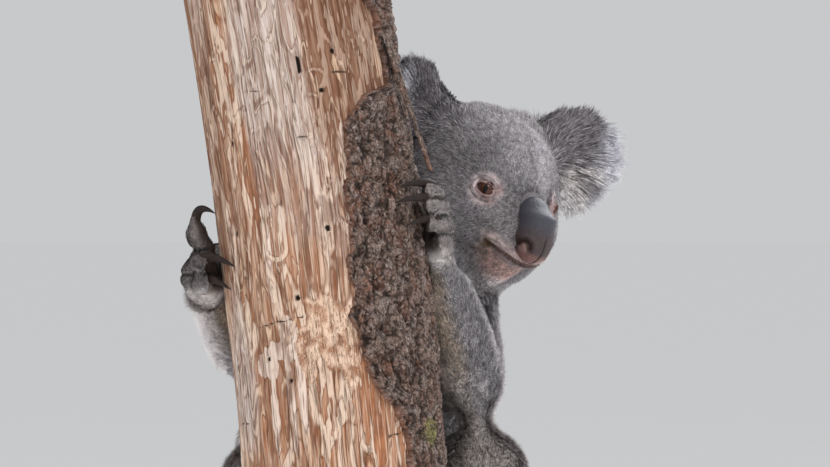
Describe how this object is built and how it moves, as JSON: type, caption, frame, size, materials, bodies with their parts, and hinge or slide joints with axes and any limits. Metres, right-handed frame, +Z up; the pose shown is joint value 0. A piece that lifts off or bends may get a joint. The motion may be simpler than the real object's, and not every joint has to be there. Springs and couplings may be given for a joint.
{
  "type": "koala model on a perch",
  "caption": "Life-size koala clinging to a cut length of eucalypt trunk, head turned to its left, held up on a flat display base by short steel rods.",
  "frame": {"origin": "centre of the underside of the display base, on the surface it stands on", "axes": "+Z up along the trunk; -Y towards the viewer who faces the bared side of the trunk and the koala's turned face; +X towards the koala's own left"},
  "size_m": [0.42, 0.42, 0.822],
  "materials": {
    "perch_wood": "bare weathered eucalypt wood under lost bark, dry and matte",
    "bark": "rough grey-brown bark plates, dry and matte",
    "fur_grey": "dense speckled grey fur, matte",
    "fur_pale": "long white and cream fur, matte",
    "paw": "short fur with bare leathery pads, matte",
    "nose": "blue-black leathery skin with a soft sheen",
    "eye": "wet gloss over a red-brown iris",
    "claw": "dark horn, satin",
    "base": "dark satin paint over a plain board",
    "steel": "brushed"
  },
  "bodies": {
    "root": {"perch_trunk": "perch_wood", "perch_bark": "bark", "stand_base": "base", "stand_rod_1": "steel", "stand_rod_2": "steel", "head": "fur_grey", "nose": "nose", "eye_left": "eye", "eye_right": "eye", "ear_left": "fur_pale", "ear_right": "fur_pale", "torso": "fur_grey", "neck": "fur_grey", "upper_arm_left": "fur_grey", "forearm_left": "fur_pale", "hand_left": "paw", "thigh_left": "fur_grey", "shin_left": "fur_grey", "foot_left": "paw", "upper_arm_right": "fur_grey", "forearm_right": "fur_pale", "hand_right": "paw", "thigh_right": "fur_grey", "shin_right": "fur_grey", "foot_right": "paw", "claw_hand_left_1": "claw", "claw_hand_left_2": "claw", "claw_hand_left_3": "claw", "claw_hand_left_4": "claw", "claw_hand_left_5": "claw", "claw_foot_left_2": "claw", "claw_foot_left_3": "claw", "claw_foot_left_4": "claw", "claw_foot_left_5": "claw", "claw_hand_right_1": "claw", "claw_hand_right_2": "claw", "claw_hand_right_3": "claw", "claw_hand_right_4": "claw", "claw_hand_right_5": "claw", "claw_foot_right_2": "claw", "claw_foot_right_3": "claw", "claw_foot_right_4": "claw", "claw_foot_right_5": "claw"}
  },
  "joints": []
}
